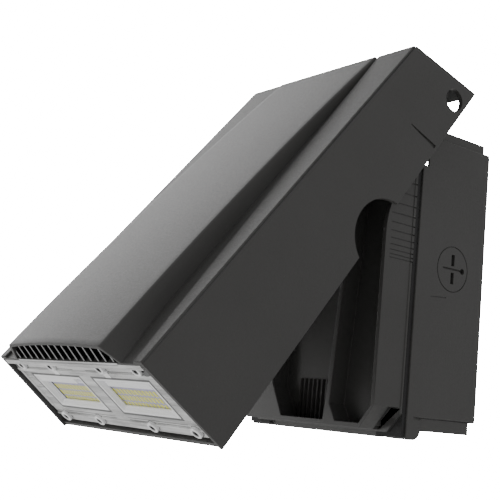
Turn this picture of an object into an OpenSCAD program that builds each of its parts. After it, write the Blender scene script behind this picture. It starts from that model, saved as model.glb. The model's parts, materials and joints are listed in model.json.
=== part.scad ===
/* [Wall box] */
// Width of the wall box
box_w = 170.2; // [165:1:176]
// Height of the wall box's side faces
box_h = 207.2; // [200:1:215]
// Depth of the wall box, from the wall to its front rim
box_d = 74.6; // [70:1:80]
// Wall thickness of the wall box
box_wall = 4; // [3:0.5:5]
// How far the front rim reaches below the side faces
rim_drop = 15.7; // [13:0.5:18]
// Depth of the front rim that reaches below the side faces
rim_deep = 14.6; // [12:0.5:17]
// How far the hinge shelf's top lies below the top of the side ears
shelf_down = 24.2; // [22:0.5:28]
// How deep behind the box's mouth the fronts of the side ears lie
ear_deep = 5.8; // [4.5:0.5:11]
// Height of the pads on top of the ears
pad_top = 6.3; // [4:0.5:8]
// Height of the pad under the box
pad_low = 9; // [6:0.5:12]

/* [Wall fixing] */
// Distance between the fixing holes across the box
fixing_x = 120; // [100:5:130]
// Distance between the fixing holes up the box
fixing_z = 140; // [120:5:150]
// Diameter of the fixing holes
fixing_d = 5.5; // [4.5:0.5:6.5]
// Diameter of the supply entry in the back
entry_d = 22.2; // [18:0.5:28]

/* [Conduit entries] */
// Diameter of the conduit plugs
plug_d = 33; // [28:0.5:36]
// Length of the conduit plugs
plug_len = 12; // [9:0.5:14]
// Distance of the plugs from the wall
plug_y = 36; // [33:0.5:40]
// Height of the plugs above the middle of the box
plug_z = 7.7; // [0:0.5:14]

/* [Driver cover] */
// How far the driver cover's front stands out from the box's mouth
cover_front = 32.1; // [29:0.5:33.5]
// Width of the driver cover
cover_w = 166.4; // [163:0.5:167]
// Width of the driver cover's rim
cover_rim_w = 167.2; // [166.8:0.2:169.6]
// Thickness of the driver cover's rim
cover_rim = 1.8; // [1.4:0.2:3]
// Wall thickness of the driver cover
cover_wall = 3; // [2.5:0.5:4]
// Radius of the cover's curved top
cover_round = 60; // [56:1:64]
// Depth of the pockets in the front of the cover
pocket_deep = 15.5; // [12:0.5:16]
// Thickness of the cover gasket
gasket = 3.4; // [2:0.2:4]

/* [Head] */
// Tilt of the head from its closed place
tilt = 37.05; // [0:1:90]
// Length of the head along its lower edge
head_len = 343.6; // [340:1:348]
// Length of the head along its top
top_len = 321.6; // [318:1:326]
// Height of the head's sides
side_h = 73.2; // [71:0.5:75]
// How much lower the deck lies at the rear end
deck_fall = 11.2; // [9:0.5:12]
// Width of the head across its top edges
head_w = 184.6; // [182:0.5:188]
// Thickness of the head's side panels
panel = 3.5; // [3:0.5:4]
// Outward lean of the side panels, from their top to their lower edge
panel_lean = 5.4; // [3:0.5:6]
// Thickness of the deck and the rear wall
deck = 3; // [2.5:0.5:3.5]
// Radius of the half-round notches in the side panels
notch_r = 28.8; // [26:0.5:30]
// Diameter of the round holes over the hinge bolts
access_d = 17; // [15:0.5:18]

/* [Hinge] */
// Distance of the hinge axis from the wall
pivot_y = 59.4; // [58:0.2:61]
// Height of the hinge axis above the hinge shelf
pivot_up = 50.9; // [50:0.5:54]
// Diameter of the hinge bolts
bolt_d = 8; // [6:0.5:9]
// Radius of the rounded ends of the hinge arms and lugs
arm_r = 11; // [10:0.5:12]
// Thickness of the hinge arms
arm = 6; // [5:0.5:7]
// Thickness of the head's hinge lugs
lug = 8; // [6:0.5:9]
// Distance from the middle to the inner face of each hinge arm
arm_x = 44; // [40:1:48]

/* [Hood] */
// Height of the hood above the deck at the lens end
hood_rise = 13.9; // [12:0.5:15]
// Height of the hood above the deck at its rear end
hood_tail = 2.8; // [2:0.2:4]
// Half width of the hood's flat top at the lens end
crest_front = 60.3; // [58:0.5:62]
// Half width of the hood's flat top at its rear end
crest_rear = 54.6; // [52:0.5:56]
// Half width of the hood's foot at the lens end
foot_front = 69; // [67:0.5:71]
// Half width of the hood's foot a quarter of the way back
foot_mid = 61.2; // [60:0.5:63]
// Thickness of the hood
hood_wall = 2.2; // [1.8:0.2:3]

/* [Light engine] */
// Thickness of the heat sink's fins
fin = 1.6; // [1.2:0.2:2]
// Distance between the fins
fin_pitch = 8.7; // [7.7:0.1:8.8]
// Length of the light engine from the lens end
engine_len = 64; // [56:1:66]
// Thickness of the heat sink's base
sink_base = 5; // [4:0.5:6]
// LEDs in each row
led_cols = 12; // [8:1:14]
// Rows of LEDs on each board
led_rows = 3; // [2:1:4]
// Width of one LED
led_wide = 2.8; // [2:0.1:3.2]
// Height of one LED
led_tall = 3.9; // [2.4:0.1:4.4]
// Thickness of the clear lens cover
lens = 2.2; // [1.8:0.2:3]

/* [Hidden] */

$fn = 48;
// A right angle, and the six sides of a hexagon
right_angle = 90;
six = 6;
// Overrun of every cut past the face that it opens
over = 1;
// How far joined parts of one casting run into each other
blend = 0.6;
// Clearance of a screw in its hole, and of a loose part in its seat
slack = 0.2;
// Gap between parts that move past each other
run_gap = 0.3;
// Radial clearance of the head's lugs on the hinge bolts
pin_fit = 0.05;
// Steps of a drawn arc
arc_steps = 14;
// The two sides of the object
sides = [-1, 1];

// Heights of the box, measured from the middle of its side faces
box_top = box_h / 2;
shelf_z = box_top - shelf_down;
back_top_down = 7.2;
rim_bottom = -box_top - rim_drop;
rim_back = box_d - rim_deep;
rim_round = 8;
rim_lip = 9;
pad_front = 59;
pad_back = 6;
pad_inset = 1.4;
edge_bevel = 1.3;
ear_nose = 1.8;
inner_x = box_w / 2 - box_wall;
ear_y = box_d - ear_deep;
front_y = box_d + cover_front;
// Lower corners of the box's mouth, cut off at a slant
mouth_cut_x = 12;
mouth_cut_z = 14;
// Corner recess of the front rim, where the gasket shows
corner_in = 24.1;
corner_x = inner_x - corner_in;

// Screws: small for covers and boards, large for the bracket
screw_d = 4;
screw_head_d = 7.6;
screw_head = 2.4;
socket_d = 3.6;
socket_deep = 1.4;
washer_d = 9;

// Pivot of the head, and its place in the head's own measures
pivot_z = shelf_z + pivot_up;
pivot_low = 12.2;
pivot_ahead = 18.2;
pivot_v = side_h - pivot_low;
pivot_u = rear_at(pivot_v) - pivot_ahead;
lean = atan(panel_lean / side_h);
fall = atan(deck_fall / top_len);
fall_share = deck_fall / top_len;
half_head = head_w / 2;
// Length of the head at a given distance below its top
function rear_at(v) = top_len + (head_len - top_len) * (v - deck_fall) / (side_h - deck_fall);

// Draws its children in the head's measures: X across, Y from top to lower edge, Z from lens end to rear
module in_head() {
    translate([0, -pivot_y, pivot_z])
        rotate([-tilt, 0, 0])
            translate([0, -pivot_v, -pivot_u])
                children();
}

// Extrudes an outline drawn as (Y, Z) across the object, centred on the middle
module across(width) {
    rotate([right_angle, 0, right_angle])
        linear_extrude(width, center = true)
            children();
}

// Extrudes an outline drawn as (X, Z) from front to back, starting at y
module along_y(y, depth) {
    translate([0, y + depth, 0])
        rotate([right_angle, 0, 0])
            linear_extrude(depth)
                children();
}

// A rod along X that starts at x
module rod_x(x, diameter, length) {
    translate([x, 0, 0])
        rotate([0, right_angle, 0])
            cylinder(d = diameter, h = length);
}

// A rod along Y that starts at y
module rod_y(y, diameter, length) {
    translate([0, y, 0])
        rotate([-right_angle, 0, 0])
            cylinder(d = diameter, h = length);
}

// A block given by its lowest and highest corners
module block(low, high) {
    translate(low)
        cube(high - low);
}

// Puts a child on both sides, mirrored across the middle
module both_sides() {
    children();
    mirror([1, 0, 0])
        children();
}

// Points of an arc round a centre
function arc(centre, radius, from, to) = [
    for (i = [0:arc_steps])
        let (a = from + (to - from) * i / arc_steps)
            centre + radius * [cos(a), sin(a)]
];

// A pan-head screw along +Z with its head's seat at the origin
module screw_z(shank_len) {
    difference() {
        union() {
            translate([0, 0, -shank_len])
                cylinder(d = screw_d, h = shank_len + blend);
            cylinder(d = screw_head_d, h = screw_head);
        }
        translate([0, 0, screw_head - socket_deep])
            cylinder(d = socket_d, h = socket_deep + over, $fn = six);
    }
}

// Wall box

module box_side_outline() {
    polygon(concat(
        [[0, -box_top], [0, box_top], [-ear_y, box_top], [-ear_y, shelf_z],
            [-box_d, shelf_z], [-box_d, rim_bottom]],
        arc([-rim_back - rim_round, rim_bottom + rim_round], rim_round, -right_angle, 0),
        [[-rim_back, -box_top]]
    ));
}

// The box's mouth as (X, Z), grown or shrunk by a margin
module mouth_outline(margin) {
    x = inner_x + margin;
    low = rim_bottom + rim_lip - margin;
    polygon([
        [-x, shelf_z - box_wall + margin], [-x, low + mouth_cut_z], [mouth_cut_x - x, low],
        [x - mouth_cut_x, low], [x, low + mouth_cut_z], [x, shelf_z - box_wall + margin]
    ]);
}

module box_pads() {
    pad_x = box_w / 2 - pad_inset;
    both_sides()
        block([inner_x, -pad_front, box_top - blend], [pad_x, -pad_back, box_top + pad_top]);
    block([-pad_x, -pad_front, -box_top - pad_low], [pad_x, -pad_back, blend - box_top]);
}

// Small bevels along the upper and lower edges of the side faces
module side_bevels() {
    side = edge_bevel * sqrt(2);
    for (z = [-box_top, box_top])
        both_sides()
            translate([box_w / 2, 0, z])
                rotate([0, right_angle / 2, 0])
                    cube([side, box_d + rim_back + over, side], center = true);
}

hub_wall = 5;
hub_floor = 4;
hub_d = plug_d + 2 * hub_wall;
hub_len = plug_len + hub_floor;
plug_bore = plug_d + slack;
// Narrow ring groove round each plug
plug_ring = 0.6;
plug_ring_deep = 0.8;

module conduit_hubs(diameter, from_x, length) {
    both_sides()
        translate([0, -plug_y, plug_z])
            rod_x(from_x, diameter, length);
}

post_d = 9;
post_len = 8;
driver_in = 22.1;
driver_w = 2 * (inner_x - driver_in);
driver_deep = 34;
driver_h = 42;
driver_z = -54;
driver_tab = 9;
driver_tab_thick = 1.6;

module driver_places() {
    for (sx = sides)
        for (sz = sides)
            translate([sx * (driver_w + driver_tab) / 2, 0, driver_z + sz * driver_h / 4])
                children();
}

cover_screw_in = 21.1;
cover_screw_back = 5.6;
cover_screw_x = inner_x - cover_screw_in;
cover_screw_y = box_d - cover_screw_back;
counterbore_d = 9.4;
counterbore = 4.4;
ground_x = 48;
ground_z = 34;
grommet_x = 0;
grommet_y = 24;
grommet_d = 14;
hook_lip = 3;
hook_lip_deep = 2.6;

module back_box() {
    color([0.24, 0.24, 0.235])
    difference() {
        union() {
            difference() {
                union() {
                    across(box_w)
                        box_side_outline();
                    box_pads();
                }
                // Room inside, behind the shelf's level
                block([-inner_x, -rim_back - box_wall, box_wall - box_top],
                    [inner_x, -box_wall, shelf_z - box_wall]);
                block([pad_inset - inner_x, box_wall - pad_front, box_wall - box_top - pad_low],
                    [inner_x - pad_inset, -pad_back - box_wall, box_wall + over - box_top]);
                along_y(-box_d - over, box_d + over - rim_back - box_wall + blend)
                    mouth_outline(0);
                // Trough round the hinge, above the shelf
                block([-inner_x, -ear_y - over, shelf_z],
                    [inner_x, -box_wall, box_top + pad_top + over]);
                block([-inner_x, -box_wall - over, box_top - back_top_down],
                    [inner_x, over, box_top + pad_top + over]);
                // Thin nose of each ear, in front of its pad
                both_sides()
                    block([inner_x - over, -ear_y - over, shelf_z],
                        [box_w / 2 - ear_nose, -pad_front, box_top + over]);
                side_bevels();
            }
            conduit_hubs(hub_d, inner_x - hub_len + box_wall, hub_len - blend);
            driver_places()
                rod_y(-box_wall - post_len, post_d, post_len + blend);
            translate([ground_x, 0, ground_z])
                rod_y(-box_wall - post_len, post_d, post_len + blend);
            // Lip under the shelf that the cover's hooks catch
            block([-inner_x + blend, -box_d, shelf_z - box_wall - hook_lip],
                [inner_x - blend, hook_lip_deep - box_d, shelf_z - box_wall + blend]);
        }
        conduit_hubs(plug_bore, inner_x - hub_len, hub_len + box_wall + over);
        conduit_hubs(plug_bore + 2 * plug_ring, box_w / 2 - plug_ring_deep, plug_ring_deep + over);
        for (sx = sides)
            for (sz = sides)
                translate([sx * fixing_x / 2, 0, sz * fixing_z / 2])
                    rod_y(-box_wall - over, fixing_d, box_wall + 2 * over);
        rod_y(-box_wall - over, entry_d, box_wall + 2 * over);
        driver_places()
            rod_y(-box_wall - post_len - over, screw_d, post_len + over);
        translate([ground_x, 0, ground_z])
            rod_y(-box_wall - post_len - over, screw_d, post_len + over);
        // Groove for the foam ring in the back face
        along_y(-foam_seat, foam_seat + over)
            foam_outline(0);
        // Screw holes under the rim
        for (sx = sides)
            translate([sx * cover_screw_x, -cover_screw_y, rim_bottom - over]) {
                cylinder(d = screw_d + slack, h = rim_lip + 2 * over);
                cylinder(d = counterbore_d, h = counterbore + over);
            }
        // Corner recesses of the front rim
        both_sides()
            block([corner_x, -box_d - over, rim_bottom - over],
                [box_w / 2 - edge_bevel, corner_deep - box_d, rim_bottom + rim_lip]);
        // Hole and tapped holes in the shelf
        translate([grommet_x, -grommet_y, shelf_z - box_wall - over])
            cylinder(d = grommet_d, h = box_wall + 2 * over);
        bracket_places()
            translate([0, 0, shelf_z - box_wall - over])
                cylinder(d = screw_d, h = box_wall + 2 * over);
        // Short groove in the side faces below each plug
        both_sides()
            translate([box_w / 2 - side_mark_deep, side_mark_y - box_d, side_mark_z])
                rotate([side_mark_turn, 0, 0])
                    cube([side_mark_deep + over, side_mark_len, side_mark_h]);
    }
}

corner_deep = 2.4;
side_mark_deep = 0.5;
side_mark_y = 15.8;
side_mark_z = -15.9;
side_mark_turn = 4;
side_mark_len = 17.3;
side_mark_h = 0.8;

foam_seat = 2;
foam_wide = 6;
foam_margin = 7;

// The foam ring as (X, Z), set in from the box's edges
module foam_outline(clear) {
    x = box_w / 2 - foam_margin - clear;
    z = box_top - back_top_down - foam_margin - clear;
    difference() {
        square([2 * x, 2 * z], center = true);
        square([2 * (x - foam_wide + 2 * clear), 2 * (z - foam_wide + 2 * clear)], center = true);
    }
}

module wall_gasket() {
    color([0.08, 0.08, 0.08])
    along_y(-foam_seat, foam_seat)
        foam_outline(slack);
}

// Conduit plugs

cross_wide = 3.4;
cross_len = 22;
cross_gap = 5;
cross_thin = 1.4;
cross_reach = 11;
cross_deep = 3;
dot_d = 4.4;
dot_place = 11;

// A flush plug with a crossed slot, standing on the right side
module conduit_plug() {
    translate([0, -plug_y, plug_z])
        difference() {
            rod_x(box_w / 2 - plug_len, plug_d, plug_len);
            for (s = sides)
                translate([box_w / 2 - cross_deep, -cross_wide / 2, s * (cross_gap + cross_len) / 4])
                    block([0, 0, -(cross_len - cross_gap) / 4],
                        [cross_deep + over, cross_wide, (cross_len - cross_gap) / 4]);
            translate([box_w / 2 - cross_deep / 2, -cross_reach, -cross_thin / 2])
                cube([cross_deep + over, 2 * cross_reach, cross_thin]);
            translate([0, dot_place, 0])
                rod_x(box_w / 2 - cross_deep, dot_d, cross_deep + over);
        }
}

module conduit_plug_right() {
    color([0.25, 0.25, 0.245])
    conduit_plug();
}

module conduit_plug_left() {
    color([0.25, 0.25, 0.245])
    mirror([1, 0, 0])
        conduit_plug();
}

seal_thick = 1.8;
seal_hole = 22;

module plug_seals() {
    color([0.06, 0.06, 0.06])
    both_sides()
        translate([0, -plug_y, plug_z])
            difference() {
                rod_x(box_w / 2 - plug_len - seal_thick, plug_d, seal_thick);
                rod_x(box_w / 2 - plug_len - seal_thick - over, seal_hole, seal_thick + 2 * over);
            }
}

// Hinge

bracket_plate = 4;
bracket_reach = 10;
bracket_screw_x = 30;
bracket_screw_y = 5;
nut_d = 13;
nut_len = 6.5;
washer = 1.2;
bolt_head_d = 13;
bolt_head = 8;
bolt_socket = 6;
bolt_socket_deep = 4;
arm_out = arm_x + arm;
lug_in = arm_out + washer + run_gap;
lug_out = lug_in + lug;

module bracket_places() {
    for (sx = sides)
        for (sy = sides)
            translate([sx * bracket_screw_x, sy * bracket_screw_y - pivot_y, 0])
                children();
}

// One hinge arm as (Y, Z), rising from the shelf to its rounded end
module arm_outline() {
    translate([-pivot_y, pivot_z])
        circle(r = arm_r);
    polygon([
        [-pivot_y - arm_r, pivot_z], [-pivot_y + arm_r, pivot_z],
        [-pivot_y + arm_r, shelf_z + blend], [-pivot_y - arm_r, shelf_z + blend]
    ]);
}

module hinge_bracket() {
    color([0.2, 0.2, 0.2])
    difference() {
        union() {
            for (sx = sides)
                translate([sx * (arm_x + arm / 2), 0, 0])
                    across(arm)
                        arm_outline();
            block([-arm_out, -pivot_y - arm_r, shelf_z],
                [arm_out, arm_r - pivot_y, shelf_z + bracket_plate]);
            // Gussets inside the arms
            both_sides()
                translate([arm_x, -pivot_y, shelf_z + bracket_plate])
                    rotate([right_angle, 0, 0])
                        linear_extrude(bracket_plate, center = true)
                            polygon([[blend, -blend], [-bracket_reach, -blend], [-bracket_reach, 0],
                                [0, 2 * bracket_reach], [blend, 2 * bracket_reach]]);
        }
        translate([0, -pivot_y, pivot_z])
            rod_x(-arm_out - over, bolt_d + 2 * pin_fit, 2 * (arm_out + over));
        bracket_places()
            translate([0, 0, shelf_z - over])
                cylinder(d = screw_d + slack, h = bracket_plate + 2 * over);
    }
}

module bracket_screws() {
    color([0.55, 0.55, 0.55])
    bracket_places()
        translate([0, 0, shelf_z + bracket_plate])
            screw_z(bracket_plate + box_wall);
}

module hinge_bolts() {
    bolt_start = arm_x - nut_len - over;
    color([0.45, 0.45, 0.46])
    both_sides()
        translate([0, -pivot_y, pivot_z])
            difference() {
                union() {
                    rod_x(bolt_start, bolt_d, lug_out + run_gap + blend - bolt_start);
                    rod_x(lug_out + run_gap, bolt_head_d, bolt_head);
                }
                translate([lug_out + run_gap + bolt_head - bolt_socket_deep, 0, 0])
                    rotate([0, right_angle, 0])
                        cylinder(d = bolt_socket, h = bolt_socket_deep + over, $fn = six);
            }
}

module hinge_nuts() {
    color([0.6, 0.6, 0.6])
    both_sides()
        translate([arm_x - nut_len, -pivot_y, pivot_z])
            rotate([0, right_angle, 0])
                difference() {
                    cylinder(d = nut_d, h = nut_len, $fn = six);
                    translate([0, 0, -over])
                        cylinder(d = bolt_d, h = nut_len + 2 * over);
                }
}

module friction_washers() {
    color([0.5, 0.5, 0.5])
    both_sides()
        translate([0, -pivot_y, pivot_z])
            difference() {
                rod_x(arm_out, 2 * arm_r - washer, washer);
                rod_x(arm_out - over, bolt_d + 2 * pin_fit, washer + 2 * over);
            }
}

// Inside the box

grommet_flange = 1.5;
grommet_lip = 2;
grommet_bore = 8;

// A rubber grommet in a hole through a wall, standing on the wall's upper face
module grommet(wall, hole, bore, lip) {
    difference() {
        union() {
            translate([0, 0, -wall - grommet_flange])
                cylinder(d = hole - slack, h = wall + 2 * grommet_flange);
            cylinder(d = hole + 2 * lip, h = grommet_flange);
            translate([0, 0, -wall - grommet_flange])
                cylinder(d = hole + 2 * lip, h = grommet_flange);
        }
        translate([0, 0, -wall - grommet_flange - over])
            cylinder(d = bore, h = wall + 2 * (grommet_flange + over));
    }
}

module shelf_grommet() {
    color([0.05, 0.05, 0.05])
    translate([grommet_x, -grommet_y, shelf_z])
        grommet(box_wall, grommet_d, grommet_bore, grommet_lip);
}

module led_driver() {
    front = -box_wall - post_len;
    color([0.75, 0.75, 0.74])
    difference() {
        union() {
            block([-driver_w / 2, front - driver_deep, driver_z - driver_h / 2],
                [driver_w / 2, front, driver_z + driver_h / 2]);
            block([-driver_w / 2 - driver_tab, front - driver_tab_thick, driver_z - driver_h / 2],
                [driver_w / 2 + driver_tab, front, driver_z + driver_h / 2]);
        }
        driver_places()
            rod_y(front - driver_tab_thick - over, screw_d + slack, driver_tab_thick + 2 * over);
    }
}

module driver_screws() {
    color([0.6, 0.6, 0.6])
    driver_places()
        translate([0, -box_wall - post_len - driver_tab_thick, 0])
            rotate([right_angle, 0, 0])
                screw_z(post_len);
}

block_w = 46;
block_deep = 16;
block_h = 20;
block_z = 40;
block_ways = 3;
block_hole = 5;
block_hole_deep = 9;

module terminal_block() {
    pitch = block_w / block_ways;
    color([0.9, 0.9, 0.88])
    difference() {
        block([-block_w / 2, -box_wall - block_deep, block_z], [block_w / 2, -box_wall, block_z + block_h]);
        for (i = [0:block_ways - 1])
            translate([(i + 1 / 2) * pitch - block_w / 2, -box_wall - block_deep, block_z + block_h / 2])
                rod_y(-over, block_hole, block_hole_deep + over);
    }
}

module ground_screw() {
    color([0.1, 0.45, 0.2])
    translate([ground_x, -box_wall - post_len, ground_z])
        rotate([right_angle, 0, 0])
            screw_z(post_len);
}

// Driver cover

rim_y = box_d + gasket + cover_rim;
cover_up = 5.2;
cover_low = rim_bottom + cover_up;
cover_cut_x = 13.2;
cover_cut_z = 16.5;
cover_top_down = 55;
cover_top_start = shelf_z - cover_top_down;
cover_arc_y = front_y - cover_round;
cover_rise = sqrt(pow(cover_round, 2) - pow(rim_y - cover_arc_y, 2));
cover_top = cover_top_start + cover_rise;
cover_half = cover_w / 2;
rim_half = cover_rim_w / 2;

// The cover's side as (Y, Z), shrunk by an inset
module cover_side(inset) {
    r = cover_round - inset;
    end = asin((rim_y - cover_arc_y) / r);
    polygon(concat(
        [[-rim_y, cover_low + inset], [inset - front_y, cover_low + inset]],
        [for (p = arc([-cover_arc_y, cover_top_start], r, 2 * right_angle, right_angle + end)) p]
    ));
}

// The cover's front as (X, Z), shrunk by an inset
module cover_face(inset) {
    x = cover_half - inset;
    low = cover_low + inset;
    polygon([
        [-x, cover_top + over], [-x, low + cover_cut_z], [cover_cut_x - x, low],
        [x - cover_cut_x, low], [x, low + cover_cut_z], [x, cover_top + over]
    ]);
}

module cover_body(inset, extra) {
    intersection() {
        across(box_w)
            cover_side(inset);
        along_y(-front_y - over, front_y + over - rim_y + extra)
            cover_face(inset);
    }
}

rim_cut_x = 12;
rim_cut_z = 14;
rim_under = 1.3;

// The cover's rim as (X, Z)
module cover_rim_face() {
    low = cover_low - rim_under;
    polygon([
        [-rim_half, cover_top + rim_under], [-rim_half, low + rim_cut_z], [rim_cut_x - rim_half, low],
        [rim_half - rim_cut_x, low], [rim_half, low + rim_cut_z], [rim_half, cover_top + rim_under]
    ]);
}

// Pockets: their lower edges, side walls, and the leaning ribs between them
pocket_up = 8.7;
pocket_low = rim_bottom + pocket_up;
pocket_wall = 3.2;
pocket_cut_x = 10.5;
pocket_cut_z = 12.2;
rib_x = 34.2;
rib_wide = 4.3;
rib_lean_share = 0.073;
rib_edge_share = 0.0625;
rib_foot_x = 45.6;
rib_foot_up = 12.1;
rib_foot_in = 1.6;
left_edge_x = 26;
left_foot_x = 13;
left_foot_up = 24;
side_pocket_up = 37;
pocket_top = cover_top;

// Middle pocket of the cover's front as (X, Z)
module middle_pocket() {
    rise = pocket_top - pocket_low;
    polygon([
        [-left_foot_x, pocket_low], [rib_x - rib_foot_in, pocket_low], [rib_x, pocket_low + rib_foot_up],
        [rib_x + rise * rib_lean_share, pocket_top],
        [-left_edge_x - (rise - left_foot_up) * rib_lean_share, pocket_top],
        [-left_edge_x, pocket_low + left_foot_up]
    ]);
}

// Side pocket on the right as (X, Z), with its lower edge raised by a lift
module side_pocket(lift) {
    low = pocket_low + lift;
    x = cover_half - pocket_wall;
    start = rib_x + rib_wide + lift * rib_edge_share;
    polygon([
        [rib_foot_x + lift * rib_edge_share, low], [x - pocket_cut_x, low],
        [x, low + pocket_cut_z], [x, pocket_top],
        [start + (pocket_top - low - rib_foot_up) * rib_edge_share, pocket_top],
        [start, low + rib_foot_up]
    ]);
}

floor_ribs = 9;
floor_rib_pitch = 4.8;
floor_rib_start = -9;
floor_rib_wide = 1.2;
floor_rib_tall = 2.6;
floor_rib_len = 30;

module pocket_ribs() {
    floor_y = pocket_deep - front_y;
    for (i = [0:floor_ribs - 1])
        translate([floor_rib_start + i * floor_rib_pitch, floor_y - floor_rib_tall, pocket_low - blend])
            cube([floor_rib_wide, floor_rib_tall + blend, floor_rib_len]);
}

// Scale of tilt marks on both sides: their spacing grows up the cover
scale_marks = 11;
scale_low = 5.9;
scale_step = 2.1;
scale_growth = 0.36;
scale_len = 22;
scale_cut = 0.5;
scale_wide = 0.8;

module scale_lines() {
    for (i = [0:scale_marks - 1])
        both_sides()
            translate([cover_half - scale_cut, -rim_y - scale_len,
                scale_low + i * (scale_step + i * scale_growth)])
                cube([rim_half, scale_len + cover_rim + blend, scale_wide]);
}

tongue_half = 6;
tongue_up = 9;
tongue_start = 10;
tongue_back = 10.1;
tongue_end = box_d - tongue_back;
hook_in = 36.1;
hook_x = inner_x - hook_in;
hook_half = 7;
hook_thick = 3;
hook_ahead = 8;
hook_back = 6.6;
hook_start = box_d + hook_ahead;
hook_end = box_d - hook_back;
recess_ahead = 17.4;
recess_y = box_d + recess_ahead;
recess_in = 8.7;
recess_low_in = 6;

// Tongues inside the lower rim that the cover screws hold
module cover_tongues() {
    for (sx = sides) {
        block([sx * cover_screw_x - tongue_half, -rim_y - tongue_start, cover_low + cover_wall - blend],
            [sx * cover_screw_x + tongue_half, -rim_y + blend, rim_bottom + rim_lip + tongue_up]);
        block([sx * cover_screw_x - tongue_half, -rim_y - tongue_start, rim_bottom + rim_lip + run_gap],
            [sx * cover_screw_x + tongue_half, -tongue_end, rim_bottom + rim_lip + tongue_up]);
    }
}

// Hooks at the top that catch behind the lip under the shelf
module cover_hooks() {
    under = shelf_z - box_wall - hook_lip - run_gap;
    for (sx = sides) {
        block([sx * hook_x - hook_half, -hook_start, under - hook_thick],
            [sx * hook_x + hook_half, -hook_end, under]);
        block([sx * hook_x - hook_half, hook_lip_deep + run_gap - box_d, under - blend],
            [sx * hook_x + hook_half, -hook_end, under + hook_lip]);
    }
}

module driver_cover() {
    color([0.27, 0.27, 0.265])
    difference() {
        union() {
            difference() {
                union() {
                    cover_body(0, 0);
                    along_y(-rim_y - blend, cover_rim + blend)
                        cover_rim_face();
                }
                // Room for the driver, behind the pockets' floors
                intersection() {
                    across(box_w)
                        cover_side(cover_wall);
                    along_y(pocket_deep + cover_wall - front_y, front_y - pocket_deep - rim_y)
                        inner_face();
                }
                along_y(-rim_y - blend, cover_rim + 2 * blend + over)
                    inner_face();
                // Pockets in the front
                along_y(-front_y - over, pocket_deep + over) {
                    middle_pocket();
                    side_pocket(0);
                    mirror([1, 0, 0])
                        side_pocket(side_pocket_up);
                }
                scale_lines();
                corner_recesses();
            }
            intersection() {
                pocket_ribs();
                along_y(-front_y, front_y)
                    middle_pocket_floor();
            }
            cover_tongues();
            cover_hooks();
        }
        for (sx = sides)
            translate([sx * cover_screw_x, -cover_screw_y, rim_bottom + rim_lip])
                cylinder(d = screw_d, h = tongue_up - cover_wall + run_gap);
    }
}

inner_top_down = 3.4;

// Room inside the cover as (X, Z)
module inner_face() {
    x = cover_half - cover_wall;
    low = cover_low + cover_wall;
    cut_x = cover_cut_x + recess_low_in;
    cut_z = cover_cut_z + recess_low_in;
    polygon([
        [-x, shelf_z - box_wall - inner_top_down], [-x, low + cut_z], [cut_x - x, low],
        [x - cut_x, low], [x, low + cut_z], [x, shelf_z - box_wall - inner_top_down]
    ]);
}

// The floor ribs start on the pocket's lower wall
module middle_pocket_floor() {
    translate([-cover_half, pocket_low - blend])
        square([cover_w, floor_rib_len + blend]);
}

// Stepped recesses behind the cover's lower corner bevels
module corner_recesses() {
    x = cover_half + over;
    both_sides()
        along_y(-recess_y, recess_y - rim_y - blend)
            polygon([
                [x, cover_low + cover_cut_z], [cover_half - recess_in, cover_low + cover_cut_z],
                [cover_half - cover_cut_x - recess_low_in, cover_low + recess_low_in - over],
                [cover_half - cover_cut_x - recess_low_in, cover_low - over], [x, cover_low - over]
            ]);
}

gasket_inset = 1.5;
gasket_wide = 2.6;
gasket_margin = 1;

module cover_gasket() {
    x = box_w / 2 - gasket_inset;
    low = rim_bottom + gasket_inset;
    step = cover_low + blend;
    color([0.05, 0.05, 0.05])
    along_y(-box_d - gasket, gasket)
        difference() {
            polygon([
                [-x, cover_top], [-x, low], [-corner_x - gasket_wide, low], [-corner_x - gasket_wide, step],
                [corner_x + gasket_wide, step], [corner_x + gasket_wide, low], [x, low], [x, cover_top]
            ]);
            mouth_outline(gasket_margin);
        }
}

module cover_screws() {
    color([0.55, 0.55, 0.55])
    for (sx = sides)
        translate([sx * cover_screw_x, -cover_screw_y, rim_bottom + counterbore])
            rotate([2 * right_angle, 0, 0])
                screw_z(rim_lip - counterbore + run_gap + tongue_up / 2);
}

// Head casting

notch_ahead = 130.6;
notch_u = pivot_u - notch_ahead;
notch_below = 9.1;
notch_v = side_h + notch_below;
mark_ahead = 49;
mark_u = pivot_u - mark_ahead;
mark_above = 28.4;
mark_v = side_h - mark_above;
mark_end_ahead = 43.6;
mark_end_u = pivot_u - mark_end_ahead;
mark_end_above = 2.2;
mark_end_v = side_h - mark_end_above;
mark_wide = 3;
mark_thin = 0.3;
mark_deep = 1.2;
rear_wall = 3.2;
rail = 1.8;
rail_in = 8.7;
rail_front_x = half_head - rail_in;
rail_rear_x = 55.8;
rail_front_drop = 0.4;

// Side panel as (Y, Z)
module panel_outline() {
    difference() {
        polygon([[0, 0], [side_h, 0], [side_h, head_len], [deck_fall, top_len]]);
        translate([notch_v, notch_u])
            circle(r = notch_r, $fn = 96);
    }
}

// Tapered pointer groove near the lower edge of the panel, as (Y, Z)
module mark_outline() {
    polygon([
        [mark_v, mark_u - mark_thin], [mark_v, mark_u + mark_thin],
        [mark_end_v, mark_end_u + mark_wide / 2], [mark_end_v, mark_end_u - mark_wide / 2]
    ]);
}

module side_panel() {
    translate([half_head - panel, 0, 0])
        rotate([0, 0, -lean])
            difference() {
                translate([panel / 2, 0, 0])
                    across(panel)
                        panel_outline();
                translate([panel, 0, 0])
                    across(2 * mark_deep)
                        mark_outline();
            }
}

// Half width between the panels at a given distance below their top
function panel_inside(v) = half_head - panel + v * panel_lean / side_h;

// Lays an outline drawn as (X, along the deck) on the sloping deck, from one height to another
module on_deck(from, thickness) {
    rotate([-fall, 0, 0])
        translate([0, from + thickness, 0])
            rotate([right_angle, 0, 0])
                linear_extrude(thickness)
                    children();
}

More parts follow.
